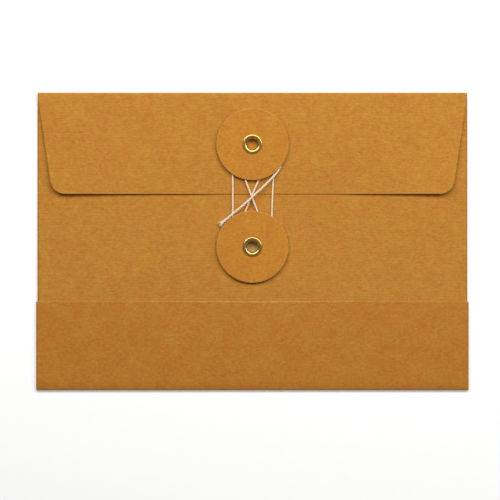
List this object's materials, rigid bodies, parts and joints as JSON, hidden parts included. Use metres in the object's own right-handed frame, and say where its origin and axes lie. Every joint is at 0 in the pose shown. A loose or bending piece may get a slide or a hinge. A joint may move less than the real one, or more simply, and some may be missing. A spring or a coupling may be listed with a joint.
{
  "type": "string tie envelope",
  "caption": "Kraft paper envelope with a closing flap held by string wound round turning paper buttons on brass eyelets, and a plain paper band that slides off.",
  "frame": {"origin": "under the middle of the closed envelope, on the surface that it lies on", "axes": "+X along the width, +Y to the top crease, +Z out of the face with the buttons"},
  "size_m": [0.163, 0.112, 0.006],
  "materials": {
    "kraft_paper": "matte",
    "kraft_board": "matte",
    "band_paper": "matte",
    "brass": "polished",
    "cotton_string": "matte",
    "dried_glue": "satin"
  },
  "bodies": {
    "envelope": {"back_panel": "kraft_paper", "pocket_panel": "kraft_paper", "bottom_fold": "kraft_paper", "left_fold": "kraft_paper", "right_fold": "kraft_paper", "left_side_flap": "kraft_paper", "right_side_flap": "kraft_paper", "left_glue_strip": "dried_glue", "right_glue_strip": "dried_glue", "top_crease": "kraft_paper", "lower_spacer": "kraft_board", "lower_washer": "kraft_paper", "lower_eyelet": "brass"},
    "flap": {"closing_flap": "kraft_paper", "upper_spacer": "kraft_board", "upper_washer": "kraft_paper", "upper_eyelet": "brass", "string_winding": "cotton_string", "string_tail": "cotton_string", "string_knot": "cotton_string"},
    "upper_disc": {"upper_button": "kraft_board"},
    "lower_disc": {"lower_button": "kraft_board"},
    "band": {"band_back": "band_paper", "band_front": "band_paper", "band_left_edge": "band_paper", "band_right_edge": "band_paper"}
  },
  "joints": [
    {"name": "flap_hinge", "type": "hinge", "parent": "envelope", "child": "flap", "pos_m": [0, 0.056, 0.0014], "axis": [-1, 0, 0], "range_deg": [0, 160], "deforming": ["string_winding", "string_tail"]},
    {"name": "upper_button_spin", "type": "hinge", "parent": "flap", "child": "upper_disc", "pos_m": [0, 0.0365, 0.0038], "axis": [0, 0, 1], "continuous": true},
    {"name": "lower_button_spin", "type": "hinge", "parent": "envelope", "child": "lower_disc", "pos_m": [0, -0.0021, 0.0029], "axis": [0, 0, 1], "continuous": true},
    {"name": "band_slide", "type": "slide", "parent": "envelope", "child": "band", "axis": [0, -1, 0], "range_m": [0, 0.035]}
  ]
}
